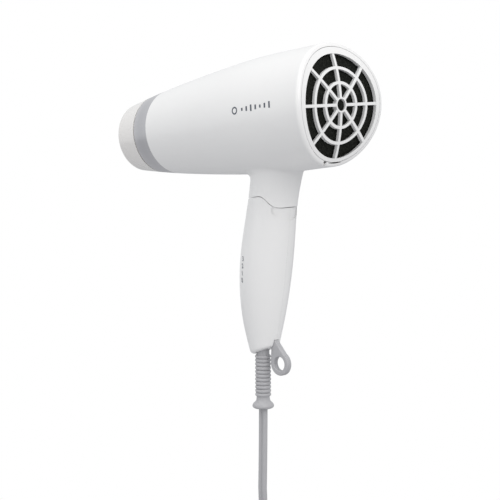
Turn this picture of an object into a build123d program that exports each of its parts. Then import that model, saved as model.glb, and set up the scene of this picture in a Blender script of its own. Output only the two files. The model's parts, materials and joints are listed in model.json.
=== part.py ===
"""Folding hair dryer with a slanted handle, a web-shaped intake grille and a flat mains cord.

Frame: the origin is the middle of the grip. The barrel's axis lies along X above it, with
the outlet at -X and the intake at +X. +Z is up. All sizes are in millimetres.
"""

import os
from math import cos, hypot, pi, radians, sin, sqrt, tan

from build123d import *

os.makedirs("parts", exist_ok=True)

# ---------------------------------------------------------------- barrel
axis_z = 110.0  # the barrel's axis above the middle of the grip
rear_x = 89.8  # the rear face, where the axis meets it
barrel_profile = [  # x along the axis and outer radius, from the rear to the tip
    (93.0, 42.5),
    (60.0, 41.7),
    (30.0, 41.4),
    (0.0, 39.4),
    (-30.0, 36.5),
    (-76.3, 31.0),
    (-116.0, 24.7),
]
shell_wall = 2.2
rear_curve_r = 100.0  # the rear face is part of a cylinder that lies along Y
rear_curve_rise = 9.2  # height of that cylinder's axis above the barrel's
rear_curve_shift = 0.4  # how far that cylinder reaches past rear_x
rim_round = 2.4
seat_r = 39.1  # the bore at the rear that the intake cover sits in
seat_depth = 12.0
pry_notch = (3.0, 3.4, 2.4)  # across, along the radius, deep
pry_angle = 14.7  # from straight down, towards -Y

band_x = -76.3  # rear edge of the metallic band
groove_x = -91.9  # groove between the band and the tip
groove_width = 1.3
groove_depth = 1.3
tip_x = -114.7
spigot_length = 7.0
spigot_gap = 0.12
outlet_bore_r = 22.2
outlet_bore_depth = 9.0
outlet_ledge = (19.0, 1.5)  # inner radius and thickness of the ledge behind the bore
grille_pocket = (20.6, 4.2)  # radius and depth of the pocket behind the ledge
grille_thickness = 1.3
grille_fit = 0.1
grille_bar = 1.1
grille_rings = (14.5, 10.0, 5.5)
tip_round = 1.6

# ---------------------------------------------------------------- intake cover
cover_gap = 0.3
cover_face = 2.6
skirt_reach = 5.0  # how far the cover's skirt goes past the seat
cover_skirt_wall = 1.6
intake_r = 35.2
grille_drop = 1.2  # the grille's centre lies this far below the axis
web_bar = 2.0
web_depth = 2.2
web_rings = [25.3, 15.05]
web_spokes = 8
hub_r = 5.2
hub_hole_r = 4.1
hub_depth = 5.0
filter_gap = 0.4
filter_thickness = 1.6

# ---------------------------------------------------------------- fan and motor
duct_x = (22.0, 70.0)
duct_r = 36.6
duct_wall = 1.6
duct_flange = 2.0
duct_fit = 0.25
vane_count = 7
vane_thickness = 1.4
motor_r = 14.0
motor_x = (27.0, 57.0)
motor_fit = 0.1
cup_wall = 1.6
shaft_r = 1.5
shaft_running = 0.06
impeller_x = (60.0, 69.5)
impeller_gap = 1.4
impeller_hub_r = 13.0
blade_count = 7
blade_thickness = 1.3
blade_angle = 38.0
board_x = 23.0
board_r = 13.0
board_thickness = 1.6

# ---------------------------------------------------------------- heater
heater_x = (-70.0, 14.0)
shield_r = 27.0
shield_wall = 0.7
mica = 0.8
mica_half = 21.0
mica_tab = 6.0
mica_slot_gap = 0.1
coil_turns = 8
coil_wire_r = 0.8
coil_pitch = 7.0
coil_gap = 0.3

# ---------------------------------------------------------------- handle
handle_wall = 2.2
lean = 0.243  # the handle's centreline is x = lean * z + bow * z * z
bow = 0.0011
grip_stations = [  # height, half depth along X, half width along Y
    (-62.0, 9.4, 8.3),
    (-50.0, 11.9, 10.4),
    (-35.0, 15.5, 13.5),
    (-18.0, 18.4, 16.0),
    (0.0, 20.0, 17.5),
    (20.0, 20.3, 17.7),
    (40.0, 19.4, 16.9),
    (56.0, 19.2, 16.7),
    (axis_z - 36.0, 20.8, 17.2),
    (axis_z - 18.0, 22.5, 17.8),
]
handle_base = (-14.7, -56.0)  # a point of the slanted end of the grip
handle_base_slope = 0.25
base_round = 3.0
half_gap = 0.05  # from the parting plane to each half

# ---------------------------------------------------------------- fold hinge
pivot = (5.8, 45.5)  # x and z of the pin
ear_r = 8.5
seam_gap = 0.4
seam_flat_end = 16.5  # where the seam leaves the flat
seam_drop_end = 31.0  # where it is flat again, at the back
seam_drop = 9.8
heel_flat = 5.0  # how far the ears' front edge runs straight down from the pin's height
heel_slope = 0.5  # and how steeply it then falls to the front of the grip
ear_inner = 10.0
lug_half = 9.0
lug_r = 8.1
slot_clear = 0.6
pin_r = 2.5
pin_running = 0.06
pin_half = 13.0
washer_r = 6.5
washer_thickness = 0.5
neck_floor = 4.0
neck_fillet = 5.0

# ---------------------------------------------------------------- thumb scoop
scoop_depth = 0.9
scoop_half = 13.0
scoop_height = 8.6

# ---------------------------------------------------------------- switch
switch_z = 5.0
switch_lean = 13.6
facet_depth = 1.5
pad_depth = 3.2
plate_size = (37.0, 11.4)
plate_gap = 0.2
knob_travel = 15.0
knob_cap = (11.0, 8.0, 1.9)
knob_stem = (7.0, 4.4)
knob_gap = 0.3
stem_gap = 0.35
stem_depth = 5.5
switch_body = (33.0, 12.0, 9.0)

# ---------------------------------------------------------------- screws
screw_head_r = 3.0
screw_head = 2.0
screw_r = 1.35
boss_r = 4.6
boss_hole_gap = 0.25
screw_places = [(13.5, 24.0), (-5.6, -31.0)]  # x and z

# ---------------------------------------------------------------- cord
tail_top = (-11.7, -56.6)
tail_lean = 8.5
rib_start = 0.9  # from the end of the grip down to the first rib
rib_count = 11
rib_pitch = 2.75
rib_crest_r = 5.7
rib_root_r = 4.6
bell_r = 7.7
bell_length = 8.7
collar_r = 6.2
collar_thickness = 2.4
collar_throat_r = 4.6
throat_gap = 0.25
collar_gap = 0.1
cord_width = 7.4
cord_thickness = 3.7
cord_route = [  # down from the strain relief, then aslant onto the coil's outer turn
    (-17.6, 0.0, -96.2),
    (-23.2, 0.0, -131.0),
    (-31.5, 0.0, -177.2),
    (-35.8, 32.9, -210.1),
]
cord_bend_share = 0.45
coil_centre = (-32.0, 0.0, -243.0)
coil_mean_r = 40.3
coil_half_radial = 8.6
coil_half_side = 8.0
tie_width = 8.0
tie_thickness = 1.2
end_route = [  # off the coil's outer turn and down to the plug beside it
    (-28.2, 23.3, -202.7),
    (-26.2, 35.6, -213.0),
    (-19.8, 43.9, -228.5),
    (-15.2, 44.8, -244.0),
]
plug_size = (16.0, 24.0, 27.0)
blade_size = (6.3, 1.5, 17.0)
blade_spacing = 12.7
clamp_size = (13.6, 5.0, 2.2)
clamp_screw_offset = 5.1
clamp_screw_r = 1.25
clamp_screw_bite = 5.0  # how far the screws go into their posts
clamp_post_r = 2.3
clamp_above_collar = 6.0
inner_length = 10.0
lead_r = 1.2
lead_gap = 0.3
lead_spread = 2.5

# ---------------------------------------------------------------- hanging loop
loop_centre = (5.3, -64.6)
loop_outer_r = 8.5
loop_hole_r = 5.1
loop_thickness = 4.4
loop_edge = 1.0
loop_hole_edge = 0.6

barrel_axis = Axis((0, 0, axis_z), (1, 0, 0))
reach = 300.0  # longer than anything that it cuts


def centre_x(z):
    """The handle's centreline."""
    return lean * z + bow * z * z


def save(part, name):
    """Label a finished piece and write its STEP file."""
    part.label = name
    export_step(part, "parts/" + name + ".step")


def across_x(x):
    """A plane across the barrel's axis, whose local x is Y and whose local y is Z."""
    return Plane(origin=(x, 0, axis_z), x_dir=(0, 1, 0), z_dir=(1, 0, 0))


def barrel_form(inset):
    """The barrel's outer form, drawn in by an inset, with flat ends."""
    with BuildPart() as form:
        with BuildSketch(Plane.XZ):
            with BuildLine():
                outline = Spline(*[(x, axis_z + r - inset) for x, r in barrel_profile])
                front, rear = outline @ 1, outline @ 0
                Polyline(front, (front.X, axis_z), (rear.X, axis_z), rear)
            make_face()
        revolve(axis=barrel_axis)
    return form.part


def rear_cut(offset):
    """All that lies in front of the curved rear face moved forwards by an offset."""
    with BuildPart() as form:
        with BuildSketch(Plane.XZ):
            with Locations((rear_x - rear_curve_r + rear_curve_shift, axis_z + rear_curve_rise)):
                Circle(rear_curve_r - offset)
            with Locations((-reach / 2, axis_z)):
                Rectangle(reach, reach)
        extrude(amount=reach / 2, both=True)
    return form.part


def slab(x_low, x_high):
    """Everything between two planes across the barrel's axis."""
    with BuildPart() as form:
        with BuildSketch(across_x(x_low)):
            Rectangle(reach, reach)
        extrude(amount=x_high - x_low)
    return form.part


def disc(x_low, x_high, radius, inner=0.0, drop=0.0):
    """A disc or ring about the barrel's axis."""
    with BuildPart() as form:
        with BuildSketch(across_x(x_low)):
            with Locations((0, -drop)):
                Circle(radius)
                if inner > 0:
                    Circle(inner, mode=Mode.SUBTRACT)
        extrude(amount=x_high - x_low)
    return form.part


def grip_form(inset, low, high):
    """The handle and neck as one lofted form, drawn in by an inset, between two heights."""
    with BuildPart() as form:
        for z, half_depth, half_width in grip_stations:
            with BuildSketch(Plane.XY.offset(z)):
                with Locations((centre_x(z), 0)):
                    Ellipse(half_depth - inset, half_width - inset)
        loft()
        with BuildSketch(Plane.XY.offset(low)):
            Rectangle(reach, reach)
        extrude(amount=high - low, mode=Mode.INTERSECT)
    return form.part


def seam_side(gap, above):
    """The side view of what lies above or below the fold seam, as a block along Y."""
    top = pivot[1] + ear_r + gap
    back = top - seam_drop
    with BuildPart() as form:
        with BuildSketch(Plane.XZ):
            with BuildLine():
                far = reach / 2
                start = (pivot[0], top)
                flat = Line(start, (seam_flat_end + gap, top))
                drop = Spline(
                    flat @ 1,
                    (seam_drop_end + gap, back),
                    tangents=[(1, 0), (1, 0)],
                )
                if above:
                    Polyline(drop @ 1, (far, back), (far, reach), (-far, reach), (-far, top), start)
                else:
                    heel = (pivot[0] - ear_r, pivot[1])
                    knee = (heel[0], heel[1] - heel_flat)
                    foot = (-far, knee[1] - heel_slope * (far + knee[0]))
                    Polyline(drop @ 1, (far, back), (far, -reach), (-far, -reach), foot, knee, heel)
                    middle = (pivot[0] - ear_r * sin(pi / 4), pivot[1] + ear_r * sin(pi / 4))
                    ThreePointArc(heel, middle, start)
            make_face()
        extrude(amount=reach / 2, both=True)
    return form.part


def base_block(inset):
    """What lies above the slanted end of the grip."""
    slope = handle_base_slope
    x0, z0 = handle_base
    far = 60.0
    lift = inset * hypot(1, slope)
    with BuildPart() as form:
        with BuildSketch(Plane.XZ):
            with BuildLine():
                Polyline(
                    (x0 - far, z0 - far * slope + lift),
                    (x0 + far, z0 + far * slope + lift),
                    (x0 + far, reach),
                    (x0 - far, reach),
                    close=True,
                )
            make_face()
        extrude(amount=reach / 2, both=True)
    return form.part


switch_normal = (-cos(radians(switch_lean)), 0, sin(radians(switch_lean)))
front_half = 20.2  # half depth of the grip at the switch
switch_apex = (centre_x(switch_z) - front_half, 0, switch_z)
switch_plane = Plane(
    origin=tuple(a - facet_depth * n for a, n in zip(switch_apex, switch_normal)),
    x_dir=(sin(radians(switch_lean)), 0, cos(radians(switch_lean))),
    z_dir=switch_normal,
)
tail_side = Plane(
    origin=(tail_top[0], 0, tail_top[1]),
    x_dir=(cos(radians(tail_lean)), 0, -sin(radians(tail_lean))),
    z_dir=(0, -1, 0),
)
tail_axis = Axis(tail_side.origin, tail_side.y_dir)

# ================================================================ barrel
with BuildPart() as barrel_shell:
    add(barrel_form(0))
    add(grip_form(0, pivot[1] - ear_r, axis_z - 20.0))
    junction = barrel_shell.edges().filter_by(
        lambda e: axis_z - 44.0 < e.center().Z < axis_z - 30.0 and e.bounding_box().size.X < 70.0
    )
    fillet(junction, neck_fillet)
    add(rear_cut(0), mode=Mode.INTERSECT)
    rim_edges = barrel_shell.edges().filter_by(lambda e: e.center().X > rear_x - 20.0)
    fillet(rim_edges.sort_by(SortBy.LENGTH)[-2:], rim_round)
    add(slab(band_x, rear_x + 10.0), mode=Mode.INTERSECT)
    add(seam_side(seam_gap, True), mode=Mode.INTERSECT)
    with BuildPart(mode=Mode.PRIVATE) as hollow:
        add(barrel_form(shell_wall))
        add(slab(band_x - 5.0, rear_x - seat_depth), mode=Mode.INTERSECT)
        add(grip_form(shell_wall, pivot[1] + ear_r + seam_gap + neck_floor, axis_z))
    add(hollow.part, mode=Mode.SUBTRACT)
    add(disc(rear_x - seat_depth - 1.0, rear_x + 10.0, seat_r), mode=Mode.SUBTRACT)
    # the hinge lug under the neck, between the handle's two ears
    lug_top = pivot[1] + ear_r + seam_gap + neck_floor / 2
    with BuildSketch(Plane.XZ):
        with Locations(pivot):
            Circle(lug_r)
        with BuildLine():
            Polyline(
                (pivot[0] - lug_r * 0.2, pivot[1]),
                (pivot[0] + lug_r, pivot[1]),
                (pivot[0] + lug_r, lug_top),
                (pivot[0] - lug_r * 0.2, lug_top),
                close=True,
            )
        make_face()
    extrude(amount=lug_half, both=True)
    with BuildSketch(Plane.XZ):
        with Locations(pivot):
            Circle(pin_r + pin_running)
    extrude(amount=lug_half * 2, both=True, mode=Mode.SUBTRACT)
    # a notch beside the cover's edge, to lift the cover out with a fingernail
    notch_width, notch_height, notch_depth = pry_notch
    notch_mid = seat_r + notch_height / 2 - 1.0
    notch_turn = radians(pry_angle)
    foot_rise = rear_curve_rise + notch_mid * cos(notch_turn)
    foot_x = rear_x + rear_curve_shift - rear_curve_r + sqrt(rear_curve_r**2 - foot_rise**2)
    with BuildSketch(across_x(foot_x - notch_depth)):
        notch_place = (-notch_mid * sin(notch_turn), -notch_mid * cos(notch_turn), 0)
        with Locations(Location(notch_place, (0, 0, -pry_angle))):
            Rectangle(notch_width, notch_height)
    extrude(amount=20.0, mode=Mode.SUBTRACT)
save(barrel_shell.part, "barrel_shell")

with BuildPart() as band_ring:
    add(barrel_form(0))
    add(slab(groove_x, band_x), mode=Mode.INTERSECT)
    with BuildPart(mode=Mode.PRIVATE) as band_spigot:
        add(barrel_form(shell_wall + spigot_gap))
        add(slab(band_x - 2.0, band_x + spigot_length), mode=Mode.INTERSECT)
    add(band_spigot.part)
    with BuildPart(mode=Mode.PRIVATE) as band_bore:
        add(barrel_form(2 * shell_wall))
    add(band_bore.part, mode=Mode.SUBTRACT)
save(band_ring.part, "band_ring")

with BuildPart() as outlet_tip:
    add(barrel_form(0))
    add(slab(tip_x, groove_x - groove_width), mode=Mode.INTERSECT)
    tip_edge = outlet_tip.edges().sort_by(Axis.X)[0]
    fillet(tip_edge, tip_round)
    with BuildPart(mode=Mode.PRIVATE) as tip_spigot:
        add(barrel_form(groove_depth))
        add(slab(groove_x - groove_width - 1.0, groove_x), mode=Mode.INTERSECT)
    add(tip_spigot.part)
    with BuildPart(mode=Mode.PRIVATE) as tip_tongue:
        add(barrel_form(2 * shell_wall + spigot_gap))
        add(slab(groove_x - 1.0, groove_x + spigot_length), mode=Mode.INTERSECT)
    add(tip_tongue.part)
    ledge_r, ledge_thickness = outlet_ledge
    pocket_r, pocket_depth = grille_pocket
    ledge_x = tip_x + outlet_bore_depth
    pocket_x = ledge_x + ledge_thickness
    add(disc(tip_x - 1.0, ledge_x, outlet_bore_r), mode=Mode.SUBTRACT)
    add(disc(ledge_x - 1.0, pocket_x + 1.0, ledge_r), mode=Mode.SUBTRACT)
    add(disc(pocket_x, pocket_x + pocket_depth, pocket_r), mode=Mode.SUBTRACT)
    with BuildPart(mode=Mode.PRIVATE) as tip_bore:
        add(barrel_form(3 * shell_wall))
        add(slab(pocket_x + pocket_depth - 0.1, groove_x + 20.0), mode=Mode.INTERSECT)
    add(tip_bore.part, mode=Mode.SUBTRACT)
save(outlet_tip.part, "outlet_tip")

grille_r = pocket_r - grille_fit
with BuildPart() as outlet_grille:
    with BuildSketch(across_x(pocket_x + grille_fit)):
        Circle(grille_r)
        Circle(ledge_r - grille_bar, mode=Mode.SUBTRACT)
        for ring_r in grille_rings:
            Circle(ring_r)
            Circle(ring_r - grille_bar, mode=Mode.SUBTRACT)
        with PolarLocations(ledge_r / 2, 6):
            Rectangle(ledge_r - 1.0, grille_bar)
        Circle(2.2)
    extrude(amount=grille_thickness)
save(outlet_grille.part, "outlet_grille")

# ================================================================ intake cover
cover_r = seat_r - cover_gap
with BuildPart() as intake_cover:
    add(rear_cut(0))
    add(rear_cut(cover_face), mode=Mode.SUBTRACT)
    add(disc(rear_x - 40.0, rear_x + 5.0, cover_r), mode=Mode.INTERSECT)
    add(disc(rear_x - 40.0, rear_x + 5.0, intake_r, drop=grille_drop), mode=Mode.SUBTRACT)
    with BuildPart(mode=Mode.PRIVATE) as skirt:
        add(disc(rear_x - seat_depth - skirt_reach, rear_x + 5.0, cover_r, cover_r - cover_skirt_wall))
        add(rear_cut(1.0), mode=Mode.INTERSECT)
    add(skirt.part)
    with BuildPart(mode=Mode.PRIVATE) as web:
        with BuildSketch(across_x(rear_x - 40.0)):
            with Locations((0, -grille_drop)):
                for ring_r in web_rings:
                    Circle(ring_r + web_bar / 2)
                    Circle(ring_r - web_bar / 2, mode=Mode.SUBTRACT)
                spoke = intake_r - hub_hole_r
                with PolarLocations(hub_hole_r + spoke / 2 + 0.4, web_spokes):
                    Rectangle(spoke, web_bar)
                Circle(hub_r)
                Circle(hub_hole_r, mode=Mode.SUBTRACT)
        extrude(amount=50.0)
        add(rear_cut(0.2), mode=Mode.INTERSECT)
        add(rear_cut(0.2 + web_depth), mode=Mode.SUBTRACT)
    add(web.part)
    with BuildPart(mode=Mode.PRIVATE) as hub:
        add(disc(rear_x - 40.0, rear_x + 5.0, hub_r, hub_hole_r, grille_drop))
        add(rear_cut(0), mode=Mode.INTERSECT)
        add(rear_cut(hub_depth), mode=Mode.SUBTRACT)
    add(hub.part)
save(intake_cover.part, "intake_cover")

filter_front = hub_depth + filter_gap
with BuildPart() as dust_filter:
    add(disc(rear_x - 40.0, rear_x + 5.0, cover_r - cover_skirt_wall - 0.1))
    add(rear_cut(filter_front), mode=Mode.INTERSECT)
    add(rear_cut(filter_front + filter_thickness), mode=Mode.SUBTRACT)
save(dust_filter.part, "dust_filter")

# ================================================================ fan and motor
duct_bore = duct_r - duct_wall
with BuildPart() as fan_duct:
    add(disc(*duct_x, duct_r, duct_bore))
    for x in (duct_x[0], duct_x[1] - duct_flange):
        with BuildPart(mode=Mode.PRIVATE) as flange:
            add(barrel_form(shell_wall + duct_fit))
            add(slab(x, x + duct_flange), mode=Mode.INTERSECT)
            add(disc(x - 1.0, x + duct_flange + 1.0, duct_bore + 0.5), mode=Mode.SUBTRACT)
        add(flange.part)
    cup_r = motor_r + motor_fit
    cup_x = (motor_x[0] + 2.0, motor_x[1] - 4.0)
    add(disc(*cup_x, cup_r + cup_wall, cup_r))
    with BuildSketch(across_x(cup_x[0])):
        with PolarLocations((cup_r + duct_bore + cup_wall) / 2, vane_count):
            Rectangle(duct_bore - cup_r - cup_wall + 1.6, vane_thickness)
    extrude(amount=cup_x[1] - cup_x[0])
save(fan_duct.part, "fan_duct")

with BuildPart() as motor_can:
    add(disc(*motor_x, motor_r))
    fillet(motor_can.edges().filter_by(GeomType.CIRCLE), 1.2)
    add(disc(motor_x[0] - 1.6, motor_x[0] + 1.0, 4.0))
    add(disc(motor_x[1] - 1.0, motor_x[1] + 1.6, 4.0))
    add(disc(motor_x[0] - 3.0, motor_x[1] + 3.0, shaft_r + shaft_running), mode=Mode.SUBTRACT)
save(motor_can.part, "motor_can")

with BuildPart() as motor_shaft:
    add(disc(motor_x[0] - 3.0, impeller_x[1], shaft_r))
save(motor_shaft.part, "motor_shaft")

with BuildPart() as fan_impeller:
    add(disc(*impeller_x, impeller_hub_r, shaft_r))
    rear_edges = fan_impeller.edges().filter_by(GeomType.CIRCLE).sort_by(Axis.X)[-2:]
    fillet(rear_edges.sort_by(SortBy.RADIUS)[-1], 3.0)
    impeller_mid = sum(impeller_x) / 2
    blade_chord = (impeller_x[1] - impeller_x[0] - 0.4) / cos(radians(blade_angle)) - 1.2
    for i in range(blade_count):
        turn = radians(360.0 * i / blade_count)
        outward = (0, cos(turn), sin(turn))
        pitch = radians(blade_angle)
        chord = Vector(cos(pitch), 0, 0) + Vector(0, -sin(turn), cos(turn)) * sin(pitch)
        blade_plane = Plane(origin=(impeller_mid, 0, axis_z), x_dir=chord, z_dir=outward)
        with BuildSketch(blade_plane.offset(impeller_hub_r - 1.5)):
            SlotOverall(blade_chord, blade_thickness)
        extrude(amount=duct_bore - impeller_gap - impeller_hub_r + 1.5)
save(fan_impeller.part, "fan_impeller")

with BuildPart() as rectifier_board:
    add(disc(board_x, board_x + board_thickness, board_r, shaft_r + 1.5))
save(rectifier_board.part, "rectifier_board")

with BuildPart() as diodes:
    with BuildSketch(across_x(board_x - 2.6)):
        with GridLocations(14.0, 10.0, 2, 2):
            Rectangle(5.2, 2.8)
    extrude(amount=2.6)
save(diodes.part, "diodes")

# ================================================================ heater
with BuildPart() as heat_shield:
    add(disc(*heater_x, shield_r, shield_r - shield_wall))
save(heat_shield.part, "heat_shield")

tab_half = shield_r - shield_wall - 0.1
heater_mid = sum(heater_x) / 2
mica_boards = (("mica_board_upright", Plane.XZ, -1), ("mica_board_level", Plane.XY.offset(axis_z), 1))
for name, plane, half_slot in mica_boards:
    with BuildPart() as board:
        level = axis_z if plane.z_dir.Z < 0.5 else 0.0
        with BuildSketch(plane):
            with Locations((heater_mid, level)):
                Rectangle(heater_x[1] - heater_x[0], 2 * mica_half)
            for x in (heater_x[0] + mica_tab / 2, heater_x[1] - mica_tab / 2):
                with Locations((x, level)):
                    Rectangle(mica_tab, 2 * tab_half)
            slot_length = (heater_x[1] - heater_x[0]) / 2 + mica_slot_gap
            slot_x = heater_mid + half_slot * (slot_length / 2 - mica_slot_gap / 2 + 0.05)
            with Locations((slot_x, level)):
                Rectangle(slot_length + mica_slot_gap, mica + 2 * mica_slot_gap, mode=Mode.SUBTRACT)
        extrude(amount=mica / 2, both=True)
    save(board.part, name)

coil_r = mica_half + coil_gap + coil_wire_r
with BuildPart() as heater_coils:
    for i in range(coil_turns):
        x = heater_x[0] + mica_tab + 3.0 + coil_pitch * i
        with BuildSketch(Plane.XZ):
            with Locations((x, axis_z + coil_r)):
                Circle(coil_wire_r)
        revolve(axis=barrel_axis)
save(heater_coils.part, "heater_coils")

with BuildPart() as thermostat:
    with Locations((heater_x[1] - mica_tab - 5.0, mica / 2 + 1.6, axis_z + 12.0)):
        Box(7.0, 3.2, 9.0)
save(thermostat.part, "thermostat")

with BuildPart() as thermal_fuse:
    with Locations(Location((heater_x[1] - mica_tab - 5.0, 12.0, axis_z + mica / 2 + 1.7), (0, 90, 0))):
        Cylinder(1.6, 9.0)
save(thermal_fuse.part, "thermal_fuse")

with BuildPart() as barrel_leads:
    with BuildSketch(Plane.XY.offset(pivot[1] + ear_r + seam_gap + neck_floor + 0.2)):
        with Locations((18.0, -5.0), (18.0, 0.0), (18.0, 5.0)):
            Circle(1.2)
    extrude(amount=24.0)
save(barrel_leads.part, "barrel_leads")

# ================================================================ handle
pad_plane = switch_plane.offset(-pad_depth)
with BuildPart() as grip_outside:
    add(grip_form(0, -61.0, pivot[1] + 20.0))
    add(base_block(0), mode=Mode.INTERSECT)
    fillet(grip_outside.edges().sort_by(Axis.Z)[0], base_round)
    add(seam_side(0, False), mode=Mode.INTERSECT)
    with BuildSketch(switch_plane):
        Rectangle(60.0, 40.0)
    extrude(amount=8.0, mode=Mode.SUBTRACT)
    with BuildPart(mode=Mode.PRIVATE) as scoop:
        add(grip_form(-2.0, 20.0, 60.0))
        add(grip_form(scoop_depth, 19.0, 61.0), mode=Mode.SUBTRACT)
        with BuildSketch(Plane.YZ):
            with Locations((0, pivot[1] + ear_r - seam_drop)):
                Ellipse(scoop_half, scoop_height)
        extrude(amount=60.0, mode=Mode.INTERSECT)
    add(scoop.part, mode=Mode.SUBTRACT)

# the collar's lower face clears the inner face of the sloping end, where that is highest
tail_turn = radians(tail_lean)
end_wall = handle_wall * sqrt(1 + handle_base_slope**2)
end_rise = handle_base_slope * (tail_top[0] + collar_r * cos(tail_turn) - handle_base[0])
collar_lift = handle_base[1] + end_rise + end_wall + collar_gap - tail_top[1] + collar_r * sin(tail_turn)
collar_in = collar_lift / (cos(tail_turn) - handle_base_slope * sin(tail_turn))

ear_top = pivot[1] + ear_r
with BuildPart() as grip_inside:
    add(grip_form(handle_wall, -61.0, ear_top - seam_drop - handle_wall))
    add(base_block(handle_wall), mode=Mode.INTERSECT)
    with BuildSketch(pad_plane):
        Rectangle(60.0, 40.0)
    extrude(amount=20.0, mode=Mode.SUBTRACT)
    with Locations((pivot[0] - 20.0, 0, pivot[1])):
        Box(59.0, 80.0, 2 * (ear_r + 2.5), mode=Mode.SUBTRACT)

slot_floor = pivot[1] - ear_r - 0.4
with BuildPart() as hinge_slot:
    with BuildSketch(Plane.XZ):
        with BuildLine():
            slot_back = pivot[0] + lug_r + slot_clear
            Polyline(
                (-60.0, slot_floor),
                (slot_back, slot_floor),
                (slot_back, 80.0),
                (-60.0, 80.0),
                close=True,
            )
        make_face()
    extrude(amount=ear_inner, both=True)
    with BuildSketch(Plane.XZ):
        with Locations(pivot):
            Circle(pin_r)
    extrude(amount=pin_half, both=True)

with BuildPart() as switch_window:
    with BuildSketch(switch_plane.offset(-pad_depth - 3.0)):
        SlotOverall(*plate_size)
    extrude(amount=20.0)

with BuildPart() as tail_hole:
    with BuildSketch(tail_side):
        Rectangle(collar_throat_r + throat_gap, 20.0, align=(Align.MIN, Align.CENTER))
    revolve(axis=tail_axis)


def loop_profile(grow):
    """The side view of the hanging loop and its arm, grown by a clearance."""
    with BuildSketch(Plane.XZ, mode=Mode.PRIVATE) as profile:
        with Locations(loop_centre):
            Circle(loop_outer_r + grow)
        with BuildLine():
            Polyline(
                (-1.2 - grow, -47.6 + grow),
                (3.4 + grow, -47.6 + grow),
                (11.2 + grow, -59.0),
                (8.0, -66.0),
                (-3.0 - grow, -62.0),
                (-1.2 - grow, -54.0),
                close=True,
            )
        make_face()
    return profile.sketch


clamp_z = tail_top[1] + (collar_in + collar_thickness + clamp_above_collar) * cos(tail_turn)
clamp_x = tail_top[0] + (clamp_z - tail_top[1]) * tan(tail_turn)

for name, side in (("handle_left", -1), ("handle_right", 1)):
    with BuildPart() as half:
        add(grip_outside.part)
        add(grip_inside.part, mode=Mode.SUBTRACT)
        for x, z in screw_places:
            with BuildSketch(Plane.XZ):
                with Locations((x, z)):
                    Circle(boss_r)
            extrude(amount=40.0, both=True)
        if side < 0:
            for turn in (-1, 1):
                with BuildSketch(Plane.XZ.offset(cord_thickness / 2)):
                    with Locations((clamp_x + turn * clamp_screw_offset, clamp_z)):
                        Circle(clamp_post_r)
                        Circle(clamp_screw_r, mode=Mode.SUBTRACT)
                extrude(amount=40.0)
        add(grip_outside.part, mode=Mode.INTERSECT)
        with Locations((0, side * (60.0 + half_gap), 0)):
            Box(reach, 120.0, reach, mode=Mode.INTERSECT)
        add(hinge_slot.part, mode=Mode.SUBTRACT)
        add(switch_window.part, mode=Mode.SUBTRACT)
        add(tail_hole.part, mode=Mode.SUBTRACT)
        with BuildSketch(Plane.XZ):
            add(loop_profile(0.2))
        extrude(amount=loop_thickness / 2 + 0.2, both=True, mode=Mode.SUBTRACT)
        for x, z in screw_places:
            hole_r = screw_r if side < 0 else screw_r + boss_hole_gap
            with BuildSketch(Plane.XZ):
                with Locations((x, z)):
                    Circle(hole_r)
            extrude(amount=-side * 9.0, mode=Mode.SUBTRACT)
            if side > 0:
                with BuildSketch(Plane.XZ.offset(-4.0)):
                    with Locations((x, z)):
                        Circle(screw_head_r + boss_hole_gap)
                extrude(amount=-40.0, mode=Mode.SUBTRACT)
    save(half.part, name)

with BuildPart() as handle_screws:
    for x, z in screw_places:
        with BuildSketch(Plane.XZ.offset(-4.0)):
            with Locations((x, z)):
                Circle(screw_head_r)
        extrude(amount=-screw_head)
        with BuildSketch(Plane.XZ.offset(-4.0)):
            with Locations((x, z)):
                Circle(screw_r)
        extrude(amount=12.0)
save(handle_screws.part, "handle_screws")

with BuildPart() as hinge_pin:
    with BuildSketch(Plane.XZ):
        with Locations(pivot):
            Circle(pin_r)
    extrude(amount=pin_half, both=True)
save(hinge_pin.part, "hinge_pin")

with BuildPart() as hinge_washers:
    for side in (-1, 1):
        with BuildSketch(Plane.XZ.offset(side * (lug_half + 0.3))):
            with Locations(pivot):
                Circle(washer_r)
                Circle(pin_r + 0.1, mode=Mode.SUBTRACT)
        extrude(amount=side * washer_thickness)
save(hinge_washers.part, "hinge_washers")

# ================================================================ switch
length, width = plate_size
slot_size = (knob_travel + knob_stem[0] + 2 * stem_gap, knob_stem[1] + 2 * stem_gap)
with BuildPart() as switch_plate:
    with BuildSketch(pad_plane):
        SlotOverall(length - 2 * plate_gap, width - 2 * plate_gap)
        Rectangle(*slot_size, mode=Mode.SUBTRACT)
    extrude(amount=pad_depth)
save(switch_plate.part, "switch_plate")

rest_shift = -knob_travel / 2
with BuildPart() as switch_knob:
    with BuildSketch(switch_plane.offset(knob_gap)):
        with Locations((rest_shift, 0)):
            RectangleRounded(knob_cap[0], knob_cap[1], 1.5)
    extrude(amount=knob_cap[2])
    fillet(switch_knob.faces().sort_by(Axis(switch_plane.origin, switch_plane.z_dir))[-1].edges(), 0.7)
    with BuildSketch(switch_plane.offset(-stem_depth)):
        with Locations((rest_shift, 0)):
            Rectangle(*knob_stem)
    extrude(amount=stem_depth + knob_gap)
save(switch_knob.part, "switch_knob")

with BuildPart() as switch_case:
    with BuildSketch(pad_plane):
        Rectangle(switch_body[0], switch_body[1])
    extrude(amount=-switch_body[2])
    with BuildSketch(pad_plane):
        Rectangle(slot_size[0], slot_size[1])
    extrude(amount=-(stem_depth - pad_depth + 0.6), mode=Mode.SUBTRACT)
save(switch_case.part, "switch_case")

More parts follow.
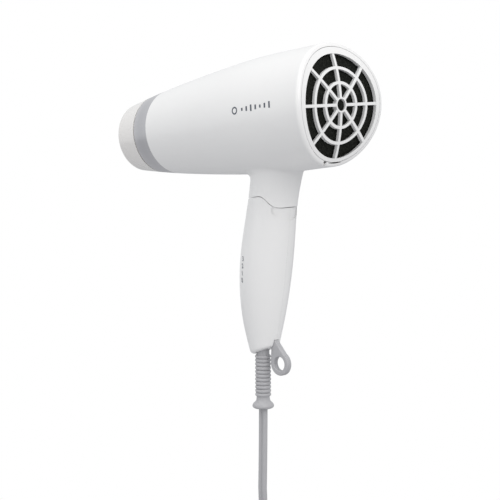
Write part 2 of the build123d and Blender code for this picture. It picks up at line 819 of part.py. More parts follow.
# ================================================================ tail
with BuildPart() as strain_relief:
    with BuildSketch(tail_side):
        with BuildLine():
            start = Line((0, collar_in + collar_thickness), (collar_r, collar_in + collar_thickness))
            Line(start @ 1, (collar_r, collar_in))
            throat = Line((collar_r, collar_in), (collar_throat_r, collar_in))
            Line(throat @ 1, (rib_root_r, -rib_start))
            for i in range(rib_count):
                top = -rib_start - i * rib_pitch
                low = top - rib_pitch
                ThreePointArc((rib_root_r, top), (rib_crest_r, (top + low) / 2), (rib_root_r, low))
            foot = -rib_start - rib_count * rib_pitch
            end = foot - bell_length
            flare = Spline(
                (rib_root_r, foot),
                (rib_root_r + 0.5, foot - 3.0),
                (bell_r, end + 2.2),
                tangents=[(0.25, -1), (0.25, -1)],
            )
            Spline(
                flare @ 1,
                (bell_r - 2.0, end),
                tangents=[(0.25, -1), (-1, -0.12)],
            )
            Polyline((bell_r - 2.0, end), (0, end), (0, collar_in + collar_thickness))
        make_face()
    revolve(axis=tail_axis)
save(strain_relief.part, "strain_relief")

with BuildPart() as hang_loop:
    with BuildSketch(Plane.XZ):
        add(loop_profile(0.0))
        with Locations(loop_centre):
            Circle(loop_hole_r, mode=Mode.SUBTRACT)
    extrude(amount=loop_thickness / 2, both=True)
    sides = hang_loop.faces().filter_by(Axis.Y)
    rims = [edge for face in sides for edge in face.outer_wire().edges()]
    hole_rims = [edge for face in sides for wire in face.inner_wires() for edge in wire.edges()]
    fillet(hole_rims, loop_hole_edge)
    fillet(rims, loop_edge)
    add(strain_relief.part, mode=Mode.SUBTRACT)
save(hang_loop.part, "hang_loop")


def cord_tube(points, name):
    """A cord's free stretch: straight runs joined by arcs as large as the runs allow."""
    route = [Vector(*p) for p in points]
    runs = [b - a for a, b in zip(route, route[1:])]
    radii = []
    for a, b in zip(runs, runs[1:]):
        half_turn = radians(a.get_angle(b)) / 2
        radii.append(cord_bend_share * min(a.length, b.length) / tan(half_turn))
    print(name, "bend radii", [round(r) for r in radii])
    with BuildPart() as tube:
        with BuildLine():
            path = FilletPolyline(*route, radius=radii)
        wide_way = Vector(1, 0, 0).cross(path % 0).cross(path % 0) * -1
        start = Plane(origin=path @ 0, x_dir=wide_way, z_dir=path % 0)
        with BuildSketch(start):
            SlotOverall(cord_width, cord_thickness)
        sweep()
    print(name, "volume over section times length", round(tube.part.volume / (section_area * path.length), 3))
    save(tube.part, name)


section_area = pi * cord_thickness**2 / 4 + (cord_width - cord_thickness) * cord_thickness
cord_tube(cord_route, "power_cord")
cord_tube(end_route, "cord_end")

with BuildPart() as cord_coil:
    with BuildSketch(Plane.XZ):
        with Locations((coil_centre[0], coil_centre[2] + coil_mean_r)):
            RectangleRounded(2 * coil_half_side, 2 * coil_half_radial, 4.0)
    revolve(axis=Axis(coil_centre, (1, 0, 0)))
save(cord_coil.part, "cord_coil")

with BuildPart() as cord_tie:
    with BuildSketch(Plane.XZ):
        with Locations((coil_centre[0], coil_centre[2] + coil_mean_r)):
            tie_half_side = coil_half_side + tie_thickness
            tie_half_radial = coil_half_radial + tie_thickness
            RectangleRounded(2 * tie_half_side, 2 * tie_half_radial, 4.5)
            RectangleRounded(2 * coil_half_side, 2 * coil_half_radial, 4.0, mode=Mode.SUBTRACT)
    extrude(amount=tie_width / 2, both=True)
save(cord_tie.part, "cord_tie")

plug_x, plug_y, plug_z = end_route[-1]
with BuildPart() as plug_body:
    for drop, share in ((0.0, 0.55), (9.0, 0.9), (plug_size[2], 1.0)):
        with BuildSketch(Plane.XY.offset(plug_z - drop)):
            with Locations((plug_x, plug_y)):
                RectangleRounded(plug_size[0] * share, plug_size[1] * share, 3.5 * share)
    loft()
save(plug_body.part, "plug_body")

with BuildPart() as plug_blades:
    for side in (-1, 1):
        blade_z = plug_z - plug_size[2] - blade_size[2] / 2
        with Locations((plug_x, plug_y + side * blade_spacing / 2, blade_z)):
            Box(*blade_size)
    fillet(plug_blades.edges().filter_by(Axis.Y).group_by(Axis.Z)[0], 1.2)
save(plug_blades.part, "plug_blades")

# the cord inside the grip, its clamp and the leads up to the switch
inner_start = collar_in + collar_thickness
with BuildPart() as inner_cord:
    inner_origin = tail_side.from_local_coords((0, inner_start, 0))
    with BuildSketch(Plane(origin=inner_origin, x_dir=tail_side.x_dir, z_dir=tail_side.y_dir)):
        SlotOverall(cord_width, cord_thickness)
    extrude(amount=inner_length)
save(inner_cord.part, "inner_cord")

clamp_width, clamp_height, clamp_plate = clamp_size
with BuildPart() as cord_clamp:
    with Locations((clamp_x, (cord_thickness + clamp_plate) / 2, clamp_z)):
        Box(clamp_width, clamp_plate, clamp_height)
        for side in (-1, 1):
            with Locations((side * clamp_screw_offset, 0, 0)):
                Cylinder(clamp_screw_r, 10.0, rotation=(90, 0, 0), mode=Mode.SUBTRACT)
save(cord_clamp.part, "cord_clamp")

clamp_top = cord_thickness / 2 + clamp_plate
shank = clamp_top + cord_thickness / 2 + clamp_screw_bite
with BuildPart() as clamp_screws:
    for side in (-1, 1):
        with Locations((clamp_x + side * clamp_screw_offset, clamp_top - shank / 2, clamp_z)):
            Cylinder(clamp_screw_r, shank, rotation=(90, 0, 0))
        with Locations((clamp_x + side * clamp_screw_offset, clamp_top + clamp_screw_r / 2, clamp_z)):
            Cylinder(1.5 * clamp_screw_r, clamp_screw_r, rotation=(90, 0, 0))
save(clamp_screws.part, "clamp_screws")

inner_top = tail_top[1] + (inner_start + inner_length) * cos(tail_turn)
lead_low = inner_top + cord_width / 2 * sin(tail_turn) + lead_gap
lead_high = switch_case.part.bounding_box().min.Z - lead_gap
lead_x = screw_places[1][0] - boss_r - lead_r - lead_gap  # they pass in front of the lower screw's boss
with BuildPart() as handle_leads:
    with BuildSketch(Plane.XY.offset(lead_low)):
        for side in (-1, 1):
            with Locations((lead_x, side * lead_spread)):
                Circle(lead_r)
    extrude(amount=lead_high - lead_low)
save(handle_leads.part, "handle_leads")
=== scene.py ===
"""The looks of a folding hair dryer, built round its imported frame.

Lengths are in metres, in the frame's axes.
"""

import json
import math

import bpy
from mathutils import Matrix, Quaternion, Vector


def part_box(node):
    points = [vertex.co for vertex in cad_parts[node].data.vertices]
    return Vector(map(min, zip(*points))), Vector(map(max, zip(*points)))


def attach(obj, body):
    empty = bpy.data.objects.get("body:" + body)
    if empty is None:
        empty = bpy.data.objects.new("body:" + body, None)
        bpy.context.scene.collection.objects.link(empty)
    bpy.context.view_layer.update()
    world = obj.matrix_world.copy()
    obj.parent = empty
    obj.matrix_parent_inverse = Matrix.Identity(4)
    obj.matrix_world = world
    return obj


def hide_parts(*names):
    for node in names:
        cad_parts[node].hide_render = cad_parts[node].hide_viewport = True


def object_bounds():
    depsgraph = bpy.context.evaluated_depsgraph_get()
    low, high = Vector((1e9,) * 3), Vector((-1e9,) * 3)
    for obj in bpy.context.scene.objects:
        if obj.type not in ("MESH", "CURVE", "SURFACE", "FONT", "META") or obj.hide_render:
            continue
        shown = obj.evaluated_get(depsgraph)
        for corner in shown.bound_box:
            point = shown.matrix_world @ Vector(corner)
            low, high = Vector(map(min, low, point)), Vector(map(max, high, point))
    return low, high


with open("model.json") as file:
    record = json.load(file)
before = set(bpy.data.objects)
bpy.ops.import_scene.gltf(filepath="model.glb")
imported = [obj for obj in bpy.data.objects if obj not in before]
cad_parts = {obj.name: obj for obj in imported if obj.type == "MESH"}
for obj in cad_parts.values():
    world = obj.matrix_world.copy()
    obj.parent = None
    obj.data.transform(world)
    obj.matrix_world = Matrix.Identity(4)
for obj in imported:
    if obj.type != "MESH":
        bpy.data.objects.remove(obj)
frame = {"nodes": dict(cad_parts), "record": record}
cad_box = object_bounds()
MM = 0.001


# ---------------------------------------------------------------- modelling helpers
MERGE_DISTANCE = 0.002 * MM
SHARP_ANGLE = math.radians(35)  # edges that turn more than this stay sharp
QUARTER_TURN = math.radians(90)


def choose(*pieces):
    """Makes these the only selected objects."""
    bpy.ops.object.select_all(action="DESELECT")
    for piece in pieces:
        piece.select_set(True)
    bpy.context.view_layer.objects.active = pieces[0]


def settle(piece, body, material):
    """Puts a finished piece's place into its mesh, and gives it its body and finish."""
    choose(piece)
    bpy.ops.object.transform_apply(location=True, rotation=True, scale=True)
    piece.data.materials.clear()
    piece.data.materials.append(material)
    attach(piece, body)
    return piece


def smooth_copy(node, name):
    """A merged, smoothly shaded copy of a frame node's mesh, to stand for it."""
    piece = bpy.data.objects.new(name, frame["nodes"][node].data.copy())
    bpy.context.scene.collection.objects.link(piece)
    choose(piece)
    bpy.ops.object.mode_set(mode="EDIT")
    bpy.ops.mesh.select_all(action="SELECT")
    bpy.ops.mesh.remove_doubles(threshold=MERGE_DISTANCE)
    bpy.ops.mesh.customdata_custom_splitnormals_clear()
    bpy.ops.object.mode_set(mode="OBJECT")
    bpy.ops.object.shade_smooth_by_angle(angle=SHARP_ANGLE)
    return piece


def apply_all(piece):
    """Applies a piece's modifiers in their order."""
    choose(piece)
    for modifier in list(piece.modifiers):
        bpy.ops.object.modifier_apply(modifier=modifier.name)


def joined(pieces, name):
    """Several objects made one."""
    choose(*pieces)
    bpy.ops.object.join()
    pieces[0].name = name
    pieces[0].data.name = name
    return pieces[0]


# ---------------------------------------------------------------- camera
CAMERA_PLACE = Vector((0.91517, -0.90562, 0.03093))
CAMERA_TARGET = Vector((-0.01344, 0.0, 0.01757))
CAMERA_ROLL = math.radians(-6.2594)
CAMERA_LENS = 130.72  # in millimetres
CAMERA_SENSOR = 36.0  # its width in millimetres
CAMERA_FAR = 20.0


def place_camera():
    """A long lens behind the dryer and to its left, a little tilted."""
    camera = bpy.data.objects.new("camera", bpy.data.cameras.new("camera"))
    bpy.context.scene.collection.objects.link(camera)
    camera.data.sensor_width = CAMERA_SENSOR
    camera.data.lens = CAMERA_LENS
    camera.data.clip_end = CAMERA_FAR
    camera.location = CAMERA_PLACE
    camera.rotation_mode = "QUATERNION"
    aim = (CAMERA_TARGET - CAMERA_PLACE).to_track_quat("-Z", "Y")
    camera.rotation_quaternion = aim @ Quaternion((0, 0, 1), CAMERA_ROLL)
    bpy.context.scene.camera = camera


# ---------------------------------------------------------------- mains cord
CORD_WIDTH = 7.4 * MM
CORD_THICKNESS = 3.7 * MM
CORD_ROUTE = [  # down from the strain relief, then aslant onto the coil's outer turn
    (-0.0176, 0.0, -0.0962),
    (-0.0232, 0.0, -0.1310),
    (-0.0315, 0.0, -0.1772),
]
END_ROUTE = [  # off the coil's outer turn and down to the plug beside it
    (-0.0262, 0.0356, -0.2130),
    (-0.0198, 0.0439, -0.2285),
    (-0.0152, 0.0448, -0.2440),
]
COIL_CENTRE = Vector((-0.0320, 0.0, -0.2430))
COIL_MEAN_R = 40.3 * MM
COIL_PITCH = 4.3 * MM  # from each turn to the next one outside it
COIL_SIDE = 3.8 * MM  # from the coil's middle to each of its two spirals
COIL_START = 45.0  # degrees round from the top, where the cord lands on it
COIL_END = 2190.0
COIL_CROSS = 52.0  # degrees over which the cord steps from one spiral to the other
COIL_STEP = 15.0
SPLINE_ORDER = 3
SPLINE_STEPS = 5  # points of the line from each control point to the next
LOBE_STEPS = 11  # points round each lobe of the cord
LOBE_OPEN = 60.0  # degrees of each lobe's circle that are left out, where the two lobes meet
CORD_SHARP_ANGLE = math.radians(40)


def coil_point(angle):
    """A point of the coil: one flat spiral runs inwards, then its neighbour runs outwards."""
    spiral = (COIL_END - COIL_START - COIL_CROSS) / 2
    inner_r = COIL_MEAN_R - COIL_PITCH * spiral / 720
    crossing = angle - COIL_START - spiral
    if crossing < 0:
        r, side = inner_r - COIL_PITCH * crossing / 360, -COIL_SIDE
    elif crossing > COIL_CROSS:
        r, side = inner_r + COIL_PITCH * (crossing - COIL_CROSS) / 360, COIL_SIDE
    else:
        t = crossing / COIL_CROSS
        r, side = inner_r, COIL_SIDE * (2 * t * t * (3 - 2 * t) - 1)
    # A spline of order 3 runs this much inside control points that lie on a circle.
    r /= 0.75 + 0.25 * math.cos(math.radians(COIL_STEP))
    turn = math.radians(angle)
    return COIL_CENTRE + Vector((side, r * math.sin(turn), r * math.cos(turn)))


def spline_points(controls):
    """The line of a smooth spline with these control points."""
    curve = bpy.data.curves.new("cord_line", "CURVE")
    curve.dimensions = "3D"
    curve.resolution_u = SPLINE_STEPS
    spline = curve.splines.new("NURBS")
    spline.points.add(len(controls) - 1)
    for point, place in zip(spline.points, controls):
        point.co = (*place, 1.0)
    spline.order_u = SPLINE_ORDER
    spline.use_endpoint_u = True
    carrier = bpy.data.objects.new("cord_line", curve)
    bpy.context.scene.collection.objects.link(carrier)
    line = bpy.data.meshes.new_from_object(carrier)
    points = [v.co.copy() for v in line.vertices]
    bpy.data.objects.remove(carrier)
    bpy.data.meshes.remove(line)
    return points


def twin_section():
    """The outline of a flat twin cord: two round lobes with a groove between them."""
    lobe_r = CORD_THICKNESS / 2
    offset = CORD_WIDTH / 2 - lobe_r
    reach = 180 - LOBE_OPEN / 2
    outline = []
    for side in (1, -1):
        for i in range(LOBE_STEPS):
            turn = math.radians(reach * (2 * i / (LOBE_STEPS - 1) - 1))
            outline.append((side * (offset + lobe_r * math.cos(turn)), side * lobe_r * math.sin(turn)))
    return outline


def make_cord():
    """The whole cord as one tube that follows its spline."""
    turns = int((COIL_END - COIL_START) / COIL_STEP)
    coil = [coil_point(COIL_START + COIL_STEP * i) for i in range(turns + 1)]
    line = spline_points([Vector(p) for p in CORD_ROUTE] + coil + [Vector(p) for p in END_ROUTE])
    outline = twin_section()
    ring = len(outline)
    vertices = []
    faces = []
    for i, point in enumerate(line):
        ahead = (line[min(i + 1, len(line) - 1)] - line[max(i - 1, 0)]).normalized()
        wide = (Vector((1, 0, 0)) - ahead.x * ahead).normalized()
        thick = ahead.cross(wide)
        vertices += [point + wide * u + thick * v for u, v in outline]
    for i in range(len(line) - 1):
        for j in range(ring):
            k = (j + 1) % ring
            faces.append((i * ring + j, i * ring + k, (i + 1) * ring + k, (i + 1) * ring + j))
    faces.append(tuple(reversed(range(ring))))
    faces.append(tuple(range((len(line) - 1) * ring, len(line) * ring)))
    mesh = bpy.data.meshes.new("mains_cord")
    mesh.from_pydata(vertices, [], faces)
    cord = bpy.data.objects.new("mains_cord", mesh)
    bpy.context.scene.collection.objects.link(cord)
    choose(cord)
    bpy.ops.object.mode_set(mode="EDIT")
    bpy.ops.mesh.select_all(action="SELECT")
    bpy.ops.mesh.normals_make_consistent(inside=False)
    bpy.ops.object.mode_set(mode="OBJECT")
    bpy.ops.object.shade_smooth_by_angle(angle=CORD_SHARP_ANGLE)
    return cord, line


# ---------------------------------------------------------------- shader groups
GRAIN_FINENESS = 900.0
FINE_DETAIL = 2.0
SLOW_SCALE = 28.0
SLOW_DETAIL = 3.0
SLOW_SHARE = 0.3  # how much of the grain's height is the slow unevenness
WEAR_BREAKUP = 160.0
WEAR_BEGINS = 0.52  # the pointiness at which an edge begins to look rubbed
WEAR_IS_FULL = 0.60
DUST_SCALE = 75.0
DUST_DETAIL = 5.0
DUST_SLOPE = 0.3  # the upward part of a face's normal from which dust begins to lie on it


def new_group(name, inputs, outputs):
    """An empty node group with named sockets: (name, kind, value) in, (name, kind) out."""
    group = bpy.data.node_groups.new(name, "ShaderNodeTree")
    for label, kind, value in inputs:
        socket = group.interface.new_socket(name=label, in_out="INPUT", socket_type=kind)
        socket.default_value = value
    for label, kind in outputs:
        group.interface.new_socket(name=label, in_out="OUTPUT", socket_type=kind)
    start = group.nodes.new("NodeGroupInput")
    end = group.nodes.new("NodeGroupOutput")
    return group, start.outputs, end.inputs


def moulding_grain():
    """The fine orange peel of a moulded skin, with a slow unevenness under it."""
    group, given, wanted = new_group(
        "moulding_grain",
        [("Fineness", "NodeSocketFloat", GRAIN_FINENESS), ("Slow Share", "NodeSocketFloat", SLOW_SHARE)],
        [("Height", "NodeSocketFloat"), ("Unevenness", "NodeSocketFloat")],
    )
    nodes, links = group.nodes, group.links
    place = nodes.new("ShaderNodeTexCoord")
    fine = nodes.new("ShaderNodeTexNoise")
    slow = nodes.new("ShaderNodeTexNoise")
    slow.inputs["Scale"].default_value = SLOW_SCALE
    slow.inputs["Detail"].default_value = SLOW_DETAIL
    fine.inputs["Detail"].default_value = FINE_DETAIL
    mix = nodes.new("ShaderNodeMix")
    links.new(place.outputs["Object"], fine.inputs["Vector"])
    links.new(place.outputs["Object"], slow.inputs["Vector"])
    links.new(given["Fineness"], fine.inputs["Scale"])
    links.new(given["Slow Share"], mix.inputs["Factor"])
    links.new(fine.outputs["Fac"], mix.inputs["A"])
    links.new(slow.outputs["Fac"], mix.inputs["B"])
    links.new(mix.outputs["Result"], wanted["Height"])
    links.new(slow.outputs["Fac"], wanted["Unevenness"])
    return group


def edge_wear():
    """A mask that is strong where edges are sharp and rubbed, broken up by noise."""
    group, given, wanted = new_group(
        "edge_wear",
        [("Amount", "NodeSocketFloat", 0.5), ("Breakup", "NodeSocketFloat", WEAR_BREAKUP)],
        [("Mask", "NodeSocketFloat")],
    )
    nodes, links = group.nodes, group.links
    shape = nodes.new("ShaderNodeNewGeometry")
    place = nodes.new("ShaderNodeTexCoord")
    sharp = nodes.new("ShaderNodeMapRange")
    sharp.inputs["From Min"].default_value = WEAR_BEGINS
    sharp.inputs["From Max"].default_value = WEAR_IS_FULL
    noise = nodes.new("ShaderNodeTexNoise")
    broken = nodes.new("ShaderNodeMath")
    scaled = nodes.new("ShaderNodeMath")
    broken.operation = "MULTIPLY"
    scaled.operation = "MULTIPLY"
    links.new(shape.outputs["Pointiness"], sharp.inputs["Value"])
    links.new(place.outputs["Object"], noise.inputs["Vector"])
    links.new(given["Breakup"], noise.inputs["Scale"])
    links.new(sharp.outputs["Result"], broken.inputs[0])
    links.new(noise.outputs["Fac"], broken.inputs[1])
    links.new(broken.outputs["Value"], scaled.inputs[0])
    links.new(given["Amount"], scaled.inputs[1])
    links.new(scaled.outputs["Value"], wanted["Mask"])
    return group


def settled_dust():
    """A faint mask of dust on faces that look upwards."""
    group, given, wanted = new_group(
        "settled_dust",
        [("Amount", "NodeSocketFloat", 0.1)],
        [("Mask", "NodeSocketFloat")],
    )
    nodes, links = group.nodes, group.links
    shape = nodes.new("ShaderNodeNewGeometry")
    place = nodes.new("ShaderNodeTexCoord")
    split = nodes.new("ShaderNodeSeparateXYZ")
    noise = nodes.new("ShaderNodeTexNoise")
    noise.inputs["Scale"].default_value = DUST_SCALE
    noise.inputs["Detail"].default_value = DUST_DETAIL
    upward = nodes.new("ShaderNodeMapRange")
    upward.inputs["From Min"].default_value = DUST_SLOPE
    speckled = nodes.new("ShaderNodeMath")
    scaled = nodes.new("ShaderNodeMath")
    speckled.operation = "MULTIPLY"
    scaled.operation = "MULTIPLY"
    links.new(shape.outputs["Normal"], split.inputs["Vector"])
    links.new(split.outputs["Z"], upward.inputs["Value"])
    links.new(place.outputs["Object"], noise.inputs["Vector"])
    links.new(upward.outputs["Result"], speckled.inputs[0])
    links.new(noise.outputs["Fac"], speckled.inputs[1])
    links.new(speckled.outputs["Value"], scaled.inputs[0])
    links.new(given["Amount"], scaled.inputs[1])
    links.new(scaled.outputs["Value"], wanted["Mask"])
    return group


GRAIN = moulding_grain()
WEAR = edge_wear()
DUST = settled_dust()


# ---------------------------------------------------------------- materials
LOW_SHADE = 0.965  # a finish's colour is this much of itself in its low spots
DUST_COLOUR = (0.80, 0.79, 0.76)
COAT_ROUGHNESS = 0.12
FOAM_CELLS = 900.0
# painted shade: the colour given to the hollows of the foam's cells
FOAM_PIT_SHADE = (0.001, 0.001, 0.001)
FOAM_WALL = (0.024, 0.026, 0.022)
FOAM_SPECULAR = 0.08
FOAM_RELIEF = 0.5 * MM


def use(material, group, **values):
    """Places a group in a material with its own values."""
    node = material.node_tree.nodes.new("ShaderNodeGroup")
    node.node_tree = group
    for label, value in values.items():
        node.inputs[label.replace("_", " ")].default_value = value
    return node.outputs


def blended(material, low, high, factor):
    """A colour between two, by a mask. low is a colour or another node's output."""
    mix = material.node_tree.nodes.new("ShaderNodeMix")
    mix.data_type = "RGBA"
    if isinstance(low, tuple):
        mix.inputs["A"].default_value = (*low, 1.0)
    else:
        material.node_tree.links.new(low, mix.inputs["A"])
    mix.inputs["B"].default_value = (*high, 1.0)
    material.node_tree.links.new(factor, mix.inputs["Factor"])
    return mix.outputs["Result"]


def ranged(material, value, low, high):
    """A 0 to 1 value stretched from low to high."""
    node = material.node_tree.nodes.new("ShaderNodeMapRange")
    node.inputs["To Min"].default_value = low
    node.inputs["To Max"].default_value = high
    material.node_tree.links.new(value, node.inputs["Value"])
    return node.outputs["Result"]


def finish_of(
    name, colour, worn, rough,
    metallic=0.0, coat=0.0, fineness=GRAIN_FINENESS, relief=0.02, wear=0.4, dust=0.1,
):
    """A finish with grain, worn edges and dust.

    worn is the colour of its rubbed edges, rough the range of its roughness, relief its bump in mm.
    """
    material = bpy.data.materials.new(name)
    material.use_nodes = True
    tree = material.node_tree
    shader = tree.nodes["Principled BSDF"]
    grain = use(material, GRAIN, Fineness=fineness, Slow_Share=SLOW_SHARE)
    rubbed = use(material, WEAR, Amount=wear, Breakup=WEAR_BREAKUP)
    dusty = use(material, DUST, Amount=dust)
    shade = tuple(c * LOW_SHADE for c in colour)
    base = blended(material, shade, colour, grain["Unevenness"])
    base = blended(material, base, worn, rubbed["Mask"])
    base = blended(material, base, DUST_COLOUR, dusty["Mask"])
    tree.links.new(base, shader.inputs["Base Color"])
    tree.links.new(ranged(material, grain["Unevenness"], *rough), shader.inputs["Roughness"])
    bump = tree.nodes.new("ShaderNodeBump")
    bump.inputs["Strength"].default_value = 1.0
    bump.inputs["Distance"].default_value = relief * MM
    tree.links.new(grain["Height"], bump.inputs["Height"])
    tree.links.new(bump.outputs["Normal"], shader.inputs["Normal"])
    shader.inputs["Metallic"].default_value = metallic
    shader.inputs["Coat Weight"].default_value = coat
    shader.inputs["Coat Roughness"].default_value = COAT_ROUGHNESS
    return material


def filter_finish():
    """Open black foam: small cells with painted shade in their pits and lighter walls."""
    material = finish_of(
        "filter_black", (0.012, 0.012, 0.011), (0.03, 0.03, 0.03), (0.85, 1.0), wear=0.1, dust=0.02
    )
    tree = material.node_tree
    shader = tree.nodes["Principled BSDF"]
    place = tree.nodes.new("ShaderNodeTexCoord")
    cells = tree.nodes.new("ShaderNodeTexVoronoi")
    cells.inputs["Scale"].default_value = FOAM_CELLS
    tree.links.new(place.outputs["Object"], cells.inputs["Vector"])
    # each cell's pit gets painted shade, and its walls get the foam's own near-black
    walls = blended(material, FOAM_PIT_SHADE, FOAM_WALL, cells.outputs["Distance"])
    tree.links.new(walls, shader.inputs["Base Color"])
    shader.inputs["Specular IOR Level"].default_value = FOAM_SPECULAR
    bump = tree.nodes.new("ShaderNodeBump")
    bump.inputs["Distance"].default_value = FOAM_RELIEF
    tree.links.new(cells.outputs["Distance"], bump.inputs["Height"])
    tree.links.new(bump.outputs["Normal"], shader.inputs["Normal"])
    return material


FINISHES = {
    "white_gloss": finish_of(
        "shell_white", (0.80, 0.80, 0.80), (0.86, 0.86, 0.85), (0.26, 0.34),
        coat=0.25, relief=0.006, wear=0.25, dust=0.05,
    ),
    "silver_paint": finish_of(
        "band_silver", (0.52, 0.52, 0.54), (0.75, 0.75, 0.76), (0.30, 0.40),
        metallic=0.75, coat=0.3, fineness=3200.0, relief=0.008, dust=0.03,
    ),
    "pearl_paint": finish_of(
        "tip_pearl", (0.78, 0.765, 0.75), (0.88, 0.87, 0.86), (0.22, 0.32),
        metallic=0.12, coat=0.4, fineness=2600.0, relief=0.005, wear=0.3, dust=0.05,
    ),
    "inner_grille": finish_of("grille_grey", (0.22, 0.22, 0.23), (0.35, 0.35, 0.35), (0.5, 0.65)),
    "filter_mesh": filter_finish(),
    "duct_plastic": finish_of("duct_black", (0.05, 0.05, 0.055), (0.12, 0.12, 0.12), (0.45, 0.6)),
    "motor_steel": finish_of(
        "plated_steel", (0.56, 0.56, 0.57), (0.75, 0.75, 0.75), (0.25, 0.4),
        metallic=1.0, fineness=1500.0, relief=0.004,
    ),
    "circuit_board": finish_of("board_brown", (0.22, 0.13, 0.05), (0.4, 0.3, 0.18), (0.5, 0.65)),
    "mica": finish_of("pressed_mica", (0.50, 0.43, 0.32), (0.65, 0.6, 0.5), (0.45, 0.7), fineness=500.0),
    "heating_wire": finish_of(
        "heating_wire", (0.30, 0.28, 0.27), (0.5, 0.48, 0.45), (0.4, 0.6), metallic=1.0
    ),
    "thermal_parts": finish_of(
        "thermal_parts", (0.60, 0.57, 0.50), (0.8, 0.78, 0.7), (0.3, 0.45), metallic=0.8
    ),
    "wire_sleeve": finish_of("wire_sleeve", (0.66, 0.65, 0.60), (0.8, 0.8, 0.76), (0.7, 0.85)),
    "switch_grey": finish_of(
        "switch_grey", (0.42, 0.42, 0.44), (0.58, 0.58, 0.6), (0.42, 0.55), relief=0.015
    ),
    "grey_pvc": finish_of(
        "cord_grey", (0.42, 0.42, 0.435), (0.56, 0.56, 0.57), (0.38, 0.52),
        fineness=1400.0, relief=0.006, wear=0.05, dust=0.05,
    ),
    "tie_black": finish_of("tie_black", (0.03, 0.03, 0.03), (0.08, 0.08, 0.08), (0.55, 0.7)),
    "plug_brass": finish_of(
        "plug_brass", (0.72, 0.60, 0.32), (0.85, 0.75, 0.5), (0.2, 0.35),
        metallic=1.0, fineness=1500.0, relief=0.004,
    ),
}
PRINT_INK = finish_of(
    "print_slate", (0.075, 0.085, 0.11), (0.2, 0.2, 0.22), (0.4, 0.5), relief=0.002, wear=0.1, dust=0.02
)


def dress_frame():
    """Every frame node gets its slot's finish, whether it is later replaced or not."""
    for entry in frame["record"]["subparts"]:
        node = frame["nodes"][entry["node"]]
        node.data.materials.clear()
        node.data.materials.append(FINISHES[entry["material_slot"]])


# ---------------------------------------------------------------- shells
BODIES = frame["record"]["behaviour"]["bodies"]
BODY_OF = {node: body for body, nodes in BODIES.items() for node in nodes}
SLOT_OF = {entry["node"]: entry["material_slot"] for entry in frame["record"]["subparts"]}
SMOOTH_NODES = [
    "barrel_shell", "band_ring", "outlet_tip", "outlet_grille", "intake_cover",
    "handle_left", "handle_right", "handle_screws", "strain_relief", "hang_loop",
    "switch_plate", "cord_tie", "plug_body", "plug_blades",
]


def skin(node):
    """A smooth stand-in for one node, in its own body and finish."""
    slot = SLOT_OF[node]
    piece = settle(smooth_copy(node, node + "_skin"), BODY_OF[node], FINISHES[slot])
    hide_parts(node)
    return piece


# ---------------------------------------------------------------- foam filter
FOAM_BULGE = 1.9 * MM
FOAM_FACING = 0.5  # faces that look backwards at least this much are the foam's outer side
HUB_BORE_R = 4.1 * MM
HUB_FOAM_GAP = 0.1 * MM
HUB_FOAM_DEPTH = 3.4 * MM
WEB_CENTRE_Z = 108.8 * MM


def make_filter():
    """The foam behind the web, pressed a little way out between its bars and into its hub."""
    foam = smooth_copy("dust_filter", "dust_filter_skin")
    low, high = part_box("dust_filter")
    outer_faces = [face for face in foam.data.polygons if face.normal.x > FOAM_FACING]
    outer = {index for face in outer_faces for index in face.vertices}
    for index in outer:
        foam.data.vertices[index].co.x += FOAM_BULGE
    bpy.ops.object.select_all(action="DESELECT")
    centre = (low + high) / 2
    bpy.ops.mesh.primitive_cylinder_add(
        vertices=32,
        radius=HUB_BORE_R - HUB_FOAM_GAP,
        depth=HUB_FOAM_DEPTH,
        location=(high.x + HUB_FOAM_DEPTH / 2, centre.y, WEB_CENTRE_Z),
        rotation=(0, QUARTER_TURN, 0),
    )
    whole = joined([foam, bpy.context.active_object], "dust_filter_skin")
    settle(whole, "cover", FINISHES["filter_mesh"])
    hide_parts("dust_filter")


# ---------------------------------------------------------------- switch knob
KNOB_TRAVEL = Vector((0.23514, 0.0, 0.97196))  # the way that the knob slides
RIB_COUNT = 5
RIB_PITCH = 1.7 * MM
RIB_R = 0.42 * MM
RIB_LENGTH = 5.6 * MM
RIB_SINK = 0.05 * MM
RIB_ROUND = 0.2 * MM


def make_knob():
    """The knob with grip ribs across its cap."""
    knob = smooth_copy("switch_knob", "switch_knob_skin")
    low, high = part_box("switch_knob")
    out = Vector((-KNOB_TRAVEL.z, 0.0, KNOB_TRAVEL.x))
    middle = (low + high) / 2
    top = max((v.co - middle).dot(out) for v in knob.data.vertices)
    ribs = []
    for i in range(RIB_COUNT):
        along = (i - (RIB_COUNT - 1) / 2) * RIB_PITCH
        place = middle + out * (top - RIB_SINK) + KNOB_TRAVEL * along
        bpy.ops.object.select_all(action="DESELECT")
        bpy.ops.mesh.primitive_cylinder_add(
            vertices=20, radius=RIB_R, depth=RIB_LENGTH, location=place, rotation=(QUARTER_TURN, 0, 0)
        )
        rib = bpy.context.active_object
        bevel = rib.modifiers.new("ends", "BEVEL")
        bevel.width = RIB_ROUND
        bevel.segments = 3
        apply_all(rib)
        ribs.append(rib)
    whole = joined([knob] + ribs, "switch_knob_skin")
    settle(whole, "knob", FINISHES["switch_grey"])
    bpy.ops.object.shade_smooth_by_angle(angle=SHARP_ANGLE)
    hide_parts("switch_knob")


